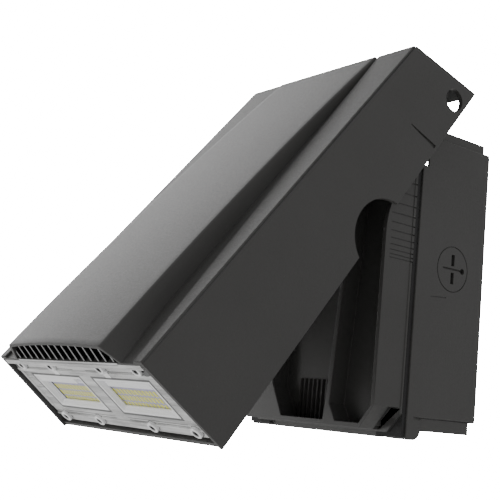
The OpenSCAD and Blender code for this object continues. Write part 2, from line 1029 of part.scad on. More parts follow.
deck_len = sqrt(pow(top_len, 2) + pow(deck_fall, 2));
fins_half = floor((crest_front + hood_wall) / fin_pitch);
window_x = fins_half * fin_pitch + fin;
window_start = 15;

// Floor of the hood's room as (X, along the deck), set in from the hood's foot
module foot_outline(inset) {
    polygon(concat(
        [for (i = [0:hood_places]) [foot_x(i / hood_places) - inset, i * hood_len / hood_places]],
        [for (i = [hood_places:-1:0]) [inset - foot_x(i / hood_places), i * hood_len / hood_places]]
    ));
}

module deck_outline() {
    difference() {
        translate([-half_head + blend, 0])
            square([head_w - 2 * blend, deck_len - blend]);
        intersection() {
            translate([-window_x, window_start])
                square([2 * window_x, engine_len + run_gap - window_start]);
            foot_outline(hood_wall);
        }
        for (p = hood_screw_places)
            for (sx = sides)
                translate([sx * p[0], p[1]])
                    circle(d = screw_d + slack);
    }
}

module rail_outline() {
    polygon([
        [half_head - blend, 0], [half_head - blend, deck_len - blend],
        [rail_rear_x, deck_len - blend], [rail_front_x, 0]
    ]);
}

// The rear wall as (Y, Z)
module rear_outline() {
    polygon([
        [deck_fall, top_len], [side_h, head_len],
        [side_h, head_len - rear_wall], [deck_fall, top_len - rear_wall]
    ]);
}

rear_lean = atan((head_len - top_len) / (side_h - deck_fall));
lug_reach = (pivot_ahead - rear_wall) * cos(rear_lean) + blend;
lug_rise = 30;

// One hinge lug as (Y, Z), from the pivot to the rear wall
module lug_outline() {
    translate([pivot_v, pivot_u])
        rotate(rear_lean) {
            circle(r = arm_r);
            polygon([[arm_r, 0], [arm_r, lug_reach], [-lug_rise, lug_reach], [-arm_r, 0]]);
        }
}

chin = 3.2;
sink_margin = 1.2;
sink_side = 6;

// Wall under the light engine, between the panels
module chin_wall() {
    across(2 * panel_inside(side_h - chin) + blend)
        polygon([
            [side_h - blend, lens_u], [side_h - blend, engine_len],
            [side_h - blend - chin, engine_len], [side_h - blend - chin, lens_u]
        ]);
}

post_u = 10;
// Posts on the panels that the heat sink is screwed to
module sink_posts() {
    for (v = sink_screw_rows)
        both_sides()
            translate([0, v, sink_back])
                block([sink_half - sink_side, -sink_side, 0], [panel_inside(v) + blend, sink_side, post_u]);
}

module head_frame() {
    color([0.25, 0.25, 0.245])
    in_head()
        difference() {
            union() {
                both_sides()
                    side_panel();
                on_deck(0, deck)
                    deck_outline();
                both_sides()
                    on_deck(-rail, rail + blend)
                        rail_outline();
                across(2 * panel_inside(deck_fall) + blend)
                    rear_outline();
                for (sx = sides)
                    translate([sx * (lug_in + lug / 2), 0, 0])
                        across(lug)
                            lug_outline();
                chin_wall();
                sink_posts();
            }
            translate([0, pivot_v, pivot_u]) {
                rod_x(-lug_out - over, bolt_d + 2 * pin_fit, 2 * (lug_out + over));
                both_sides()
                    rod_x(lug_out + bolt_head + run_gap + over, access_d, half_head);
            }
            sink_screw_places()
                translate([0, 0, sink_back - over])
                    cylinder(d = screw_d, h = post_u + over - cover_wall);
        }
}

// Hood

hood_short = 2.1;
hood_len = top_len - hood_short;
hood_places = 16;
// Share of the length at which the hood's foot reaches its middle width
flare_share = 0.22;
crown = 2.5;
crown_steps = 8;
hood_foot_gap = 0;

// Height of the hood's crest over the head's measures, along a share of its length
sag_share = 0.4;
function crest_v(s) =
    -hood_rise + (hood_len * fall_share - hood_tail + hood_rise) * s * (sag_share + (1 - sag_share) * s);
function crest_x(s) = crest_front + (crest_rear - crest_front) * s;
function foot_x(s) = max(
    crest_x(s) + hood_wall / 4,
    s < flare_share
        ? foot_mid + (foot_front - foot_mid) * pow(1 - s / flare_share, 2)
        : foot_mid + (crest_rear - foot_mid) * (s - flare_share) / (1 - flare_share)
);

// One section of the hood, shrunk by an inset, from its left foot over the crown to its right foot
function hood_section(s, inset) = let (
    u = s * hood_len,
    top = crest_v(s) + inset,
    low = u * fall_share,
    cx = crest_x(s) - inset,
    fx = foot_x(s) - inset,
    sag = crown * (1 - s)
) concat(
    [[-fx, low, u]],
    [for (i = [0:crown_steps])
        let (k = 2 * i / crown_steps - 1)
            [k * cx, top - sag * (1 - k * k), u]],
    [[fx, low, u]]
);

// Skins a row of sections of equal point count into one closed body
module loft(sections) {
    n = len(sections[0]);
    last = len(sections) - 1;
    polyhedron(
        points = [for (s = sections) for (p = s) p],
        faces = concat(
            [for (j = [0:last - 1]) for (i = [0:n - 1])
                [j * n + i, (j + 1) * n + (i + 1) % n, j * n + (i + 1) % n]],
            [for (j = [0:last - 1]) for (i = [0:n - 1])
                [j * n + i, (j + 1) * n + i, (j + 1) * n + (i + 1) % n]],
            [[for (i = [0:n - 1]) i]],
            [[for (i = [n - 1:-1:0]) last * n + i]]
        )
    );
}

// Screws under the hood: how far from the middle, and how far from its front end
hood_screw_out_shares = [0.83, 0.78, 0.73];
hood_screw_len_shares = [0.28, 0.595, 0.89];
hood_screw_places = [
    for (i = [0:len(hood_screw_len_shares) - 1])
        [crest_front * hood_screw_out_shares[i], hood_len * hood_screw_len_shares[i]]
];
boss_d = 9;
boss_from = 2;

module hood() {
    color([0.3, 0.3, 0.295])
    in_head() {
        difference() {
            loft([for (i = [0:hood_places]) hood_section(i / hood_places, 0)]);
            hood_room();
        }
        // Bosses for the hood's screws
        intersection() {
            on_deck(-hood_rise - crown, hood_rise + crown)
                for (p = hood_screw_places)
                    for (sx = sides)
                        translate([sx * p[0], p[1]])
                            difference() {
                                circle(d = boss_d);
                                circle(d = screw_d);
                            }
            loft([for (i = [0:hood_places]) hood_section(i / hood_places, hood_wall / 2)]);
        }
    }
}

// The hollow under the hood, open at the lens end and below
module hood_room() {
    difference() {
        translate([0, 0, -over])
            loft([for (i = [0:hood_places]) room_section(i / hood_places)]);
        on_deck(-hood_rise - 2 * crown, 2 * hood_rise)
            translate([-half_head, hood_len - hood_wall])
                square([head_w, deck]);
    }
}

function room_section(s) = [
    for (p = hood_section(s, hood_wall))
        [p[0], p[1] > s * hood_len * fall_share - blend ? p[1] + over : p[1], p[2]]
];

module hood_screws() {
    color([0.5, 0.5, 0.5])
    in_head()
        rotate([-fall, 0, 0])
            for (p = hood_screw_places)
                for (sx = sides)
                    translate([sx * p[0], deck, p[1]])
                        rotate([-right_angle, 0, 0])
                            screw_z(deck + blend);
}

// Light engine, from the clear cover back to the fins

lens_u = 1.2;
lens_face = 3;
lens_v = 4.2;
lens_up = 6;
lens_low = side_h - lens_up;
lens_in = 5.7;
lens_half = half_head - lens_in;
gasket_u = lens_face + lens;
seal = 3;
chip_thick = 0.8;
board = 1.6;
board_up = 44.2;
board_v = side_h - board_up;
board_h = 24;
board_x = 10;
board_w = 56;
led_x = 13.5;
led_span = 50;
led_up = 40.2;
led_v = side_h - led_up;
led_rise = 16;
sink_face = gasket_u + seal;
sink_back = sink_face + sink_base;
sink_in = 6.3;
sink_half = half_head - sink_in;
sink_top = 4.8;
sink_up = 7;
sink_low = side_h - sink_up;
fin_gap = 0.8;
end_neck = 19;
fin_front = 0.4;
fin_lean = 2;
fin_foot = 0.4;
fin_up = 11.2;
fin_low = side_h - fin_up;
sink_screw_down = 14;
sink_screw_up = 19.2;
sink_screw_rows = [sink_screw_down, side_h - sink_screw_up];

module heat_sink() {
    color([0.5, 0.5, 0.5])
    in_head()
        difference() {
            union() {
                block([-sink_half, sink_top, sink_face], [sink_half, sink_low, sink_back]);
                for (i = [-fins_half:fins_half])
                    translate([i * fin_pitch, 0, 0])
                        fin_root(abs(i) == fins_half ? end_neck : engine_len);
                intersection() {
                    for (i = [-fins_half:fins_half])
                        translate([i * fin_pitch, 0, 0])
                            fin_blade();
                    loft([for (i = [0:hood_places]) hood_section(i / hood_places, hood_wall + fin_gap)]);
                }
            }
            sink_screw_places()
                translate([0, 0, sink_face - over])
                    cylinder(d = screw_d + slack, h = sink_base + 2 * over);
            lens_screw_places()
                translate([0, 0, sink_face - over])
                    cylinder(d = screw_d / 2 + blend, h = sink_base + 2 * over);
            translate([-head_grommet_x, head_grommet_v, sink_face - over])
                cylinder(d = head_grommet_d, h = sink_base + 2 * over);
        }
}

// The part of a fin above the deck, before the hood's room trims it
module fin_blade() {
    top = -hood_rise - crown;
    across(fin)
        polygon([
            [top, fin_front - fin_lean * top / hood_rise], [-fin_foot, fin_front],
            [-fin_foot, engine_len], [top, engine_len]
        ]);
}

// The part of a fin behind the sink's base, with its neck through the window in the deck
module fin_root(neck_end) {
    block([-fin / 2, sink_top + 2 * blend, sink_back - blend], [fin / 2, fin_low, engine_len]);
    block([-fin / 2, -fin_foot - blend, window_start + run_gap],
        [fin / 2, sink_top + 3 * blend, neck_end]);
}

// Grommet that leads the wires to the LED boards
head_grommet_x = 72;
head_grommet_up = 32.2;
head_grommet_v = side_h - head_grommet_up;
head_grommet_d = 7.6;
head_grommet_bore = 4;
head_grommet_lip = 1.4;

module heat_sink_screws() {
    color([0.55, 0.55, 0.55])
    in_head()
        sink_screw_places()
            translate([0, 0, sink_face])
                rotate([2 * right_angle, 0, 0])
                    flat_screw(sink_base + post_u / 2);
}

flat_head = 1.2;

// A thin-headed screw along +Z with its head's seat at the origin
module flat_screw(shank_len) {
    translate([0, 0, -shank_len])
        cylinder(d = screw_d, h = shank_len + flat_head / 2);
    cylinder(d = screw_d + 2 * flat_head, h = flat_head);
}

module led_board() {
    block([board_x, board_v, sink_face - board], [board_x + board_w, board_v + board_h, sink_face]);
}

module led_board_right() {
    color([0.95, 0.95, 0.93])
    in_head()
        led_board();
}

module led_board_left() {
    color([0.95, 0.95, 0.93])
    in_head()
        mirror([1, 0, 0])
            led_board();
}

module led_chips() {
    for (c = [0:led_cols - 1])
        for (r = [0:led_rows - 1])
            translate([led_x + (c + 1 / 2) * led_span / led_cols, led_v + (r + 1 / 2) * led_rise / led_rows,
                sink_face - board - chip_thick])
                translate([-led_wide / 2, -led_tall / 2, 0])
                    cube([led_wide, led_tall, chip_thick]);
}

module led_chips_right() {
    color([0.95, 0.9, 0.45])
    in_head()
        led_chips();
}

module led_chips_left() {
    color([0.95, 0.9, 0.45])
    in_head()
        mirror([1, 0, 0])
            led_chips();
}

top_screw_v = 8;
top_screw_in_x = 32;
top_screw_out_x = 74;
low_screw_up = 11.2;
low_screw_v = side_h - low_screw_up;
low_screw_in_x = 33;
low_screw_out_x = 80;
boss_out = 1.8;
lens_boss_d = 9;
lens_window_x = 8;
lens_window_w = 62;
lens_window_up = 51.2;
lens_window_v = side_h - lens_window_up;
lens_window_h = 33;
lens_window_deep = 1;
lens_frame = 3;

module lens_screw_places() {
    for (sx = sides) {
        for (x = [top_screw_in_x, top_screw_out_x])
            translate([sx * x, top_screw_v, 0])
                children();
        for (x = [low_screw_in_x, low_screw_out_x])
            translate([sx * x, low_screw_v, 0])
                children();
    }
}

module sink_screw_places() {
    for (v = sink_screw_rows)
        for (sx = sides)
            translate([sx * (sink_half - sink_side / 2), v, 0])
                children();
}

// Outline of the clear cover as (X, Y), following the leaning panels
module lens_outline(inset) {
    polygon([
        [inset - panel_inside(lens_v) + sink_margin, lens_v + inset],
        [inset - panel_inside(lens_low) + sink_margin, lens_low - inset],
        [panel_inside(lens_low) - sink_margin - inset, lens_low - inset],
        [panel_inside(lens_v) - sink_margin - inset, lens_v + inset]
    ]);
}

module lens_cover() {
    window_end_x = lens_window_x + lens_window_w;
    window_end_v = lens_window_v + lens_window_h;
    color([0.85, 0.87, 0.88, 0.5])
    in_head()
        difference() {
            union() {
                translate([0, 0, lens_face])
                    linear_extrude(lens)
                        lens_outline(0);
                lens_screw_places()
                    translate([0, 0, lens_face - boss_out])
                        cylinder(d = lens_boss_d, h = boss_out + lens / 2);
                // Raised frames round the windows
                both_sides()
                    block([lens_window_x, lens_window_v, lens_face - lens_window_deep],
                        [window_end_x, window_end_v, lens_face + lens / 2]);
            }
            both_sides()
                block([lens_window_x + lens_frame, lens_window_v + lens_frame,
                    lens_face - lens_window_deep - over],
                    [window_end_x - lens_frame, window_end_v - lens_frame, lens_face + lens_window_deep]);
            lens_screw_places()
                translate([0, 0, -over])
                    cylinder(d = screw_d / 2 + blend + slack, h = gasket_u + 2 * over);
        }
}

module lens_gasket() {
    color([0.1, 0.1, 0.1])
    in_head()
        translate([0, 0, gasket_u])
            difference() {
                linear_extrude(seal)
                    difference() {
                        lens_outline(sink_margin);
                        lens_outline(sink_margin + gasket_ring);
                    }
                lens_screw_places()
                    translate([0, 0, -over])
                        cylinder(d = screw_d / 2 + blend + slack, h = seal + 2 * over);
                sink_screw_places()
                    translate([0, 0, -over])
                        cylinder(d = screw_d + 2 * flat_head + 2 * slack, h = seal + 2 * over);
            }
}

gasket_ring = 9;

module lens_screws() {
    color([0.6, 0.6, 0.6])
    in_head()
        lens_screw_places()
            translate([0, 0, lens_face - boss_out])
                rotate([2 * right_angle, 0, 0])
                    small_screw(boss_out + lens + seal + sink_base / 2);
}

small_head_d = 5.6;
small_head = 1.6;

// A small screw along +Z with its head's seat at the origin
module small_screw(shank_len) {
    difference() {
        union() {
            translate([0, 0, -shank_len])
                cylinder(d = screw_d / 2 + blend, h = shank_len + small_head / 2);
            cylinder(d = small_head_d, h = small_head);
        }
        translate([0, 0, small_head / 2])
            cylinder(d = screw_d / 2, h = small_head, $fn = six);
    }
}

module head_grommet() {
    color([0.05, 0.05, 0.05])
    in_head()
        translate([-head_grommet_x, head_grommet_v, sink_back])
            grommet(sink_base, head_grommet_d, head_grommet_bore, head_grommet_lip);
}

back_box();
wall_gasket();
conduit_plug_right();
conduit_plug_left();
plug_seals();
hinge_bracket();
bracket_screws();
hinge_bolts();
hinge_nuts();
friction_washers();
shelf_grommet();
led_driver();
driver_screws();
terminal_block();
ground_screw();
cover_gasket();
driver_cover();
cover_screws();
head_frame();
hood();
hood_screws();
heat_sink();
heat_sink_screws();
led_board_right();
led_board_left();
led_chips_right();
led_chips_left();
lens_cover();
lens_gasket();
lens_screws();
head_grommet();
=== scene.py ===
import bmesh
import bpy
import json
import math
from mathutils import Matrix, Vector


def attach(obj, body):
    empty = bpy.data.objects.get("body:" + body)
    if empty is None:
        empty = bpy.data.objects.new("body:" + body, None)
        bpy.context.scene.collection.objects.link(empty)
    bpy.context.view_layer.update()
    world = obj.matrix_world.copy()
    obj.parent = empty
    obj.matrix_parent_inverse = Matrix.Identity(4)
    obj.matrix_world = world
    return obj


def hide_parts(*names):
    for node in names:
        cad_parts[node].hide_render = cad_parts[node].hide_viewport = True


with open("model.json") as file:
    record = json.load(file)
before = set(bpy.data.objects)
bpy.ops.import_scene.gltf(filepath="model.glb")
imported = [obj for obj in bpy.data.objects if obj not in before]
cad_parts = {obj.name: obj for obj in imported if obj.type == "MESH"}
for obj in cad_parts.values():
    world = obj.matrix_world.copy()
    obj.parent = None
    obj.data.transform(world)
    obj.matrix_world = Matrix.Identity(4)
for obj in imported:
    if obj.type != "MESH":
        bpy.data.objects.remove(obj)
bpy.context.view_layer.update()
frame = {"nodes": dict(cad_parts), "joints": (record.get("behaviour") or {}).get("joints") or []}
nodes = frame["nodes"]
MM = 0.001

# Camera: its place in mm, its turns in degrees, and its focal length in pixels of the picture
CAMERA_AT = (564.06, -602.07, -108.11)
CAMERA_YAW = 51.964
CAMERA_PITCH = 9.107
CAMERA_ROLL = -5.421
FOCAL_PIXELS = 989.21
IMAGE_PIXELS = 500
CENTRE_PIXEL = (250.69, 249.64)
SENSOR = 36.0
CLIP = (0.01, 50)

# Light, in metres and watts: a dim white studio that the camera sees as a bright backdrop,
# a broad key light high on the left, and a small one low on the left for the lens end
WHITE = (1, 1, 1, 1)
STUDIO_LIGHT = 0.6
BACKDROP_LIGHT = 40.0
KEY_AT = (-2.0, 0.05, 0.85)
KEY_TARGET = (0, -0.17, 0.05)
KEY_SIZE = 2.0
KEY_POWER = 33
LENS_LIGHT_AT = (-0.7, -1.1, -0.4)
LENS_LIGHT_TARGET = (0, -0.28, -0.1)
LENS_LIGHT_SIZE = 0.5
LENS_LIGHT_POWER = 5.5


def make_camera():
    camera = bpy.data.cameras.new("camera")
    camera.sensor_fit = "HORIZONTAL"
    camera.sensor_width = SENSOR
    camera.lens = FOCAL_PIXELS * SENSOR / IMAGE_PIXELS
    camera.shift_x = (IMAGE_PIXELS / 2 - CENTRE_PIXEL[0]) / IMAGE_PIXELS
    camera.shift_y = (CENTRE_PIXEL[1] - IMAGE_PIXELS / 2) / IMAGE_PIXELS
    camera.clip_start, camera.clip_end = CLIP
    obj = bpy.data.objects.new("camera", camera)
    bpy.context.collection.objects.link(obj)
    turn = (Matrix.Rotation(math.radians(CAMERA_YAW), 4, "Z")
            @ Matrix.Rotation(math.radians(CAMERA_PITCH), 4, "X")
            @ Matrix.Rotation(math.radians(CAMERA_ROLL), 4, "Y")
            @ Matrix.Rotation(math.radians(90), 4, "X"))
    obj.matrix_world = Matrix.Translation(Vector(CAMERA_AT) * MM) @ turn
    bpy.context.scene.camera = obj


def area_light(name, at, target, size, power):
    light = bpy.data.lights.new(name, "AREA")
    light.shape = "RECTANGLE"
    light.size = light.size_y = size
    light.energy = power
    obj = bpy.data.objects.new(name, light)
    bpy.context.collection.objects.link(obj)
    way = Vector(target) - Vector(at)
    turn = way.to_track_quat("-Z", "Y").to_matrix().to_4x4()
    obj.matrix_world = Matrix.Translation(Vector(at)) @ turn


def background(node, strength):
    node.inputs["Color"].default_value = WHITE
    node.inputs["Strength"].default_value = strength
    return node.outputs[0]


def make_lights():
    world = bpy.data.worlds.new("studio")
    bpy.context.scene.world = world
    world.use_nodes = True
    tree = world.node_tree
    dim = background(tree.nodes["Background"], STUDIO_LIGHT)
    bright = background(tree.nodes.new("ShaderNodeBackground"), BACKDROP_LIGHT)
    path = tree.nodes.new("ShaderNodeLightPath")
    blend = tree.nodes.new("ShaderNodeMixShader")
    tree.links.new(path.outputs["Is Camera Ray"], blend.inputs[0])
    tree.links.new(dim, blend.inputs[1])
    tree.links.new(bright, blend.inputs[2])
    tree.links.new(blend.outputs[0], tree.nodes["World Output"].inputs[0])
    area_light("key", KEY_AT, KEY_TARGET, KEY_SIZE, KEY_POWER)
    area_light("lens_light", LENS_LIGHT_AT, LENS_LIGHT_TARGET, LENS_LIGHT_SIZE, LENS_LIGHT_POWER)


# Materials. A noise's middle part, between these two values, is spread over a ramp's whole range
NOISE_LOW = 0.3
NOISE_HIGH = 0.7
EVEN = (1, 1, 1)
DETAIL = 4.0
NOISE_ROUGH = 0.55
FINE_GRAIN = 900
FINE_DETAIL = 2.0
GRAIN_BUMP = 0.25
GRAIN_DEPTH = 0.0002
MOTTLE = 14
ROUGH_SPREAD = 0.06
# Floor, in metres
FLOOR_SIZE = 4.0
FLOOR_AT = (0, 0, -0.45)
FLOOR_TONES = (0.86, 0.86, 0.86), (0.88, 0.88, 0.88)
FLOOR_MOTTLE = 3
FLOOR_ROUGH = 0.9
# Clear panes
PANE_TONES = (0.86, 0.88, 0.93), (0.93, 0.94, 0.98)
PANE_MOTTLE = 30
PANE_GRAIN = 240
PANE_ROUGH = (0.05, 0.12)
PANE_ALPHA = 0.04
# Anodised fins, painted light and shade by the way they face: their grey coat on the faces that
# look out of the lens end, painted shade near black on the slots' sides
HEAD_AXIS = (0, 0.6025, 0.7981)
FIN_FRONT_PAINTED_LIGHT = (0.3, 0.3, 0.3)
FIN_SIDE_PAINTED_SHADE = (0.004, 0.004, 0.004)
FIN_ROUGH = (0.45, 0.6)
FIN_BUMP = 0.15
FIN_SPECULAR = 0.08
# Ridged lens plate: grey with pale streaks, partly the frosted plastic's own tone, partly painted
# reflection and highlights on the ridges
RIDGE_TONES_AND_HIGHLIGHTS = (0.26, 0.26, 0.255), (0.8, 0.8, 0.79)
RIDGE_SCALE = 55
RIDGE_DETAIL = 5.0
RIDGE_STRETCH = (0.35, 3.0, 3.0)
RIDGE_ROUGH = (0.18, 0.4)
RIDGE_BUMP = 0.5
RIDGE_DEPTH = 0.0008


class Shader:
    """Builds one node material step by step."""

    def __init__(self, name):
        self.material = bpy.data.materials.new(name)
        self.material.use_nodes = True
        self.tree = self.material.node_tree
        self.bsdf = self.tree.nodes["Principled BSDF"]
        self.place = self.tree.nodes.new("ShaderNodeTexCoord")

    def link(self, source, target):
        self.tree.links.new(source, target)

    def noise(self, scale, detail=DETAIL, stretch=EVEN):
        mapping = self.tree.nodes.new("ShaderNodeMapping")
        mapping.inputs["Scale"].default_value = stretch
        self.link(self.place.outputs["Object"], mapping.inputs["Vector"])
        noise = self.tree.nodes.new("ShaderNodeTexNoise")
        noise.inputs["Scale"].default_value = scale
        noise.inputs["Detail"].default_value = detail
        noise.inputs["Roughness"].default_value = NOISE_ROUGH
        self.link(mapping.outputs["Vector"], noise.inputs["Vector"])
        return noise.outputs["Fac"]

    def facing(self, way):
        """How far a face looks in one direction of the frame, from -1 to 1."""
        product = self.tree.nodes.new("ShaderNodeVectorMath")
        product.operation = "DOT_PRODUCT"
        product.inputs[1].default_value = way
        self.link(self.place.outputs["Normal"], product.inputs[0])
        return product.outputs["Value"]

    def colour(self, source, low, high):
        ramp = self.tree.nodes.new("ShaderNodeValToRGB")
        ends = ramp.color_ramp.elements
        ends[0].position, ends[1].position = NOISE_LOW, NOISE_HIGH
        ends[0].color, ends[1].color = (*low, 1), (*high, 1)
        self.link(source, ramp.inputs["Fac"])
        self.link(ramp.outputs["Color"], self.bsdf.inputs["Base Color"])

    def rough(self, source, low, high):
        remap = self.tree.nodes.new("ShaderNodeMapRange")
        remap.inputs["From Min"].default_value = NOISE_LOW
        remap.inputs["From Max"].default_value = NOISE_HIGH
        remap.inputs["To Min"].default_value = low
        remap.inputs["To Max"].default_value = high
        self.link(source, remap.inputs["Value"])
        self.link(remap.outputs["Result"], self.bsdf.inputs["Roughness"])

    def bump(self, source, strength, distance):
        bump = self.tree.nodes.new("ShaderNodeBump")
        bump.inputs["Strength"].default_value = strength
        bump.inputs["Distance"].default_value = distance
        self.link(source, bump.inputs["Height"])
        self.link(bump.outputs["Normal"], self.bsdf.inputs["Normal"])


def grained(name, low, high, rough, metal=0.0, grain=FINE_GRAIN, bump=GRAIN_BUMP, mottle=MOTTLE):
    """A coat or a moulded surface: mottled between two tones, with a fine grain."""
    shader = Shader(name)
    shader.colour(shader.noise(mottle), low, high)
    fine = shader.noise(grain, FINE_DETAIL)
    shader.rough(fine, rough - ROUGH_SPREAD, rough + ROUGH_SPREAD)
    shader.bump(fine, bump, GRAIN_DEPTH)
    shader.bsdf.inputs["Metallic"].default_value = metal
    return shader.material


def clear_plastic(name):
    shader = Shader(name)
    shader.colour(shader.noise(PANE_MOTTLE), *PANE_TONES)
    shader.rough(shader.noise(PANE_GRAIN), *PANE_ROUGH)
    shader.bsdf.inputs["Alpha"].default_value = PANE_ALPHA
    return shader.material


def facing_painted_light(name):
    """Anodised fins, painted by the way they face: grey on the faces that look out of the lens
    end, painted shade near black on all the others.
    """
    shader = Shader(name)
    shader.colour(shader.facing([-part for part in HEAD_AXIS]), FIN_SIDE_PAINTED_SHADE, FIN_FRONT_PAINTED_LIGHT)
    fine = shader.noise(FINE_GRAIN, FINE_DETAIL)
    shader.rough(fine, *FIN_ROUGH)
    shader.bump(fine, FIN_BUMP, GRAIN_DEPTH)
    shader.bsdf.inputs["Specular IOR Level"].default_value = FIN_SPECULAR
    return shader.material


def ridged(name):
    """Moulded clear plastic with fine ridges across, which scatters light and looks pale grey; its
    streaked tones are partly painted reflection and highlights.
    """
    shader = Shader(name)
    streaks = shader.noise(RIDGE_SCALE, RIDGE_DETAIL, RIDGE_STRETCH)
    shader.colour(streaks, *RIDGE_TONES_AND_HIGHLIGHTS)
    shader.rough(streaks, *RIDGE_ROUGH)
    shader.bump(streaks, RIDGE_BUMP, RIDGE_DEPTH)
    return shader.material


def make_floor():
    bpy.ops.mesh.primitive_plane_add(size=FLOOR_SIZE, location=FLOOR_AT)
    floor = bpy.context.object
    floor.name = "floor"
    shader = Shader("pale_floor")
    shader.colour(shader.noise(FLOOR_MOTTLE), *FLOOR_TONES)
    shader.bsdf.inputs["Roughness"].default_value = FLOOR_ROUGH
    floor.data.materials.append(shader.material)


# Each grained material's two tones and roughness
MATERIALS = {
    "powder": grained("powder_coat", (0.045, 0.044, 0.042), (0.052, 0.051, 0.049), 0.5, bump=0.35),
    "steel": grained("zinc_steel", (0.42, 0.42, 0.43), (0.5, 0.5, 0.5), 0.35, metal=1.0),
    "rubber": grained("black_rubber", (0.012, 0.012, 0.012), (0.02, 0.02, 0.02), 0.75),
    "sink": facing_painted_light("grey_anodised_painted_shade"),
    "case": grained("driver_case", (0.6, 0.6, 0.58), (0.7, 0.7, 0.68), 0.4),
    "ivory": grained("terminal_plastic", (0.7, 0.7, 0.66), (0.78, 0.78, 0.74), 0.45),
    "green": grained("earth_green", (0.02, 0.2, 0.05), (0.03, 0.26, 0.07), 0.35, metal=0.8),
    "board": grained("solder_mask", (0.36, 0.34, 0.5), (0.42, 0.4, 0.56), 0.35),
    "phosphor": grained("led_phosphor", (0.8, 0.78, 0.02), (0.9, 0.88, 0.05), 0.4, mottle=200),
    "clear": clear_plastic("clear_lens"),
    "frosted": ridged("frosted_lens_painted_highlights"),
    # painted light: the clear frames, bosses, tabs and raised lines are painted near white for the
    # bright light seen through clear plastic
    "bezel": grained("bezel_painted_light", (0.92, 0.92, 0.92), (0.98, 0.98, 0.98), 0.12, grain=300,
                     bump=0.05),
    # painted shade: dark lines and rings for the shade in grooves round the windows and bosses,
    # across the plate, and in the corner recesses
    "shade": grained("lens_painted_shade", (0.05, 0.05, 0.05), (0.11, 0.11, 0.11), 0.4, mottle=60),
    "tray": grained("reflector_film", (0.9, 0.89, 0.98), (0.96, 0.95, 1.0), 0.3),
    "blackened": grained("blackened_steel", (0.03, 0.03, 0.03), (0.05, 0.05, 0.05), 0.35,
                         metal=0.6),
}
# The CAD nodes that wear each material
WEARS = {
    "powder": ["back_box", "driver_cover", "head_frame", "hood", "conduit_plug_right",
               "conduit_plug_left", "hinge_bracket"],
    "steel": ["bracket_screws", "hinge_bolts", "hinge_nuts", "friction_washers", "cover_screws",
              "hood_screws", "heat_sink_screws", "driver_screws"],
    "rubber": ["cover_gasket", "lens_gasket", "plug_seals", "shelf_grommet", "head_grommet",
               "wall_gasket"],
    "sink": ["heat_sink"],
    "case": ["led_driver"],
    "ivory": ["terminal_block"],
    "green": ["ground_screw"],
    "board": ["led_board_right", "led_board_left"],
    "phosphor": ["led_chips_right", "led_chips_left"],
    "clear": ["lens_cover"],
    "blackened": ["lens_screws"],
}


def dress_nodes():
    for key, names in WEARS.items():
        for name in names:
            for slot in nodes[name].material_slots:
                slot.material = MATERIALS[key]


# Rounding of the castings' edges, in mm and degrees: which edges are rounded, and how far
ROUND_WIDTH = 0.55
ROUND_STEPS = 2
ROUND_ANGLE = 25
ROUND_LEAST_LENGTH = 5.0
ROUND_LEAST_AREA = 45.0
WELD = 0.002
FLAT_ANGLE = 0.4
SMOOTH_ANGLE = 32
LENS_SMOOTH_ANGLE = 20
EVEN_WEIGHT = 100


def takes_rounding(edge):
    """A long, clear edge between two faces that both have room for a rounding."""
    return (len(edge.link_faces) == 2
            and edge.calc_length() > ROUND_LEAST_LENGTH * MM
            and abs(edge.calc_face_angle_signed(0)) > math.radians(ROUND_ANGLE)
            and min(face.calc_area() for face in edge.link_faces) > ROUND_LEAST_AREA * MM * MM)


def soften(name, body):
    """A copy of a cast CAD node with its long edges rounded, as the casting and its coat have."""
    mesh = nodes[name].data.copy()
    mesh.name = name + "_cast"
    made = bmesh.new()
    made.from_mesh(mesh)
    bmesh.ops.remove_doubles(made, verts=made.verts, dist=WELD * MM)
    bmesh.ops.dissolve_limit(made, angle_limit=math.radians(FLAT_ANGLE), verts=made.verts,
                             edges=made.edges, use_dissolve_boundaries=False)
    made.normal_update()
    chosen = [edge for edge in made.edges if takes_rounding(edge)]
    bmesh.ops.bevel(made, geom=chosen, offset=ROUND_WIDTH * MM, offset_type="OFFSET",
                    segments=ROUND_STEPS, profile=0.5, affect="EDGES", clamp_overlap=False)
    made.to_mesh(mesh)
    made.free()
    mesh.shade_smooth()
    mesh.set_sharp_from_angle(angle=math.radians(SMOOTH_ANGLE))
    mesh.materials.clear()
    mesh.materials.append(MATERIALS["powder"])
    piece = bpy.data.objects.new(name + "_cast", mesh)
    bpy.context.collection.objects.link(piece)
    even = piece.modifiers.new("even_normals", "WEIGHTED_NORMAL")
    even.mode = "FACE_AREA"
    even.weight = EVEN_WEIGHT
    even.keep_sharp = True
    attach(piece, body)
    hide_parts(name)


# The head's own measures in mm: x across, v from its top to its lower edge, u from the lens end
# to the rear. HEAD_TURN takes a point (x, v, u) to the frame.
TILT = 37.05
PIVOT_U = 321.07
PIVOT_V = 61.0
TOP_LEN = 321.6
DECK_FALL = 11.2
PIVOT = Vector(frame["joints"][0]["pos_m"])
HEAD_TURN = (Matrix.Translation(PIVOT) @ Matrix.Rotation(math.radians(-TILT), 4, "X")
             @ Matrix.Scale(MM, 4) @ Matrix.Translation((0, -PIVOT_V, -PIVOT_U)))


def add_piece(name, points, faces, material, replaced=(), smooth=SMOOTH_ANGLE):
    """One piece of the head, from points in the head's own measures."""
    mesh = bpy.data.meshes.new(name)
    mesh.from_pydata([HEAD_TURN @ Vector(p) for p in points], [], faces)
    made = bmesh.new()
    made.from_mesh(mesh)
    bmesh.ops.recalc_face_normals(made, faces=made.faces)
    made.to_mesh(mesh)
    made.free()
    mesh.shade_smooth()
    mesh.set_sharp_from_angle(angle=math.radians(smooth))
    mesh.materials.append(MATERIALS[material])
    piece = bpy.data.objects.new(name, mesh)
    bpy.context.collection.objects.link(piece)
    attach(piece, "head")
    if replaced:
        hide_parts(*replaced)


